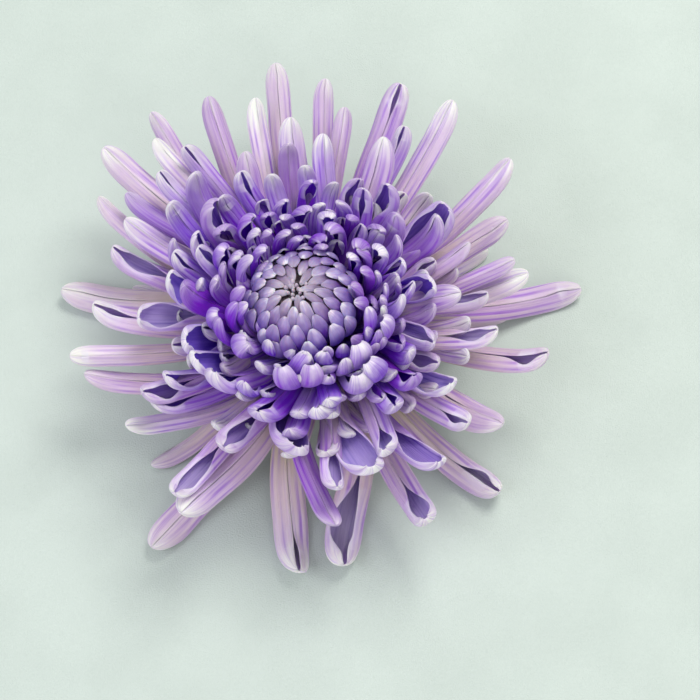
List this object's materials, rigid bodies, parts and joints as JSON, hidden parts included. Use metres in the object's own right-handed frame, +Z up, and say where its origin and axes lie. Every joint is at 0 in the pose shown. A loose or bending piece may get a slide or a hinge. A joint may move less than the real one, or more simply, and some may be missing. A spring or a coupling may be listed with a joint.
{
  "type": "topspin chrysanthemum bloom",
  "caption": "Cut chrysanthemum bloom lying face up, quilled violet florets opening into pale spoon tips round a closed heart.",
  "frame": {"origin": "on the surface that the bloom lies on, under the middle of its outline seen from above", "axes": "+Z up along the bloom's axis, towards the heart; +X to the right and +Y to the back, as seen by someone who looks down on the bloom from the front"},
  "size_m": [0.1338, 0.1346, 0.0465],
  "materials": {
    "stem": "fresh ribbed green stem, slightly waxy; leather stands in for moist plant tissue",
    "calyx": "matt grey-green bracts with thin pale edges; leather stands in for moist plant tissue",
    "ray_florets": "satin petals, lilac and whitish outside, deep violet in their hollows; leather stands in for moist plant tissue",
    "heart_florets": "satin petals, pale greyish lilac with creamy tips and dark gaps; leather stands in for moist plant tissue"
  },
  "bodies": {
    "root": {"stem": "stem", "calyx": "calyx", "ray_florets": "ray_florets", "heart_florets": "heart_florets"}
  },
  "joints": []
}
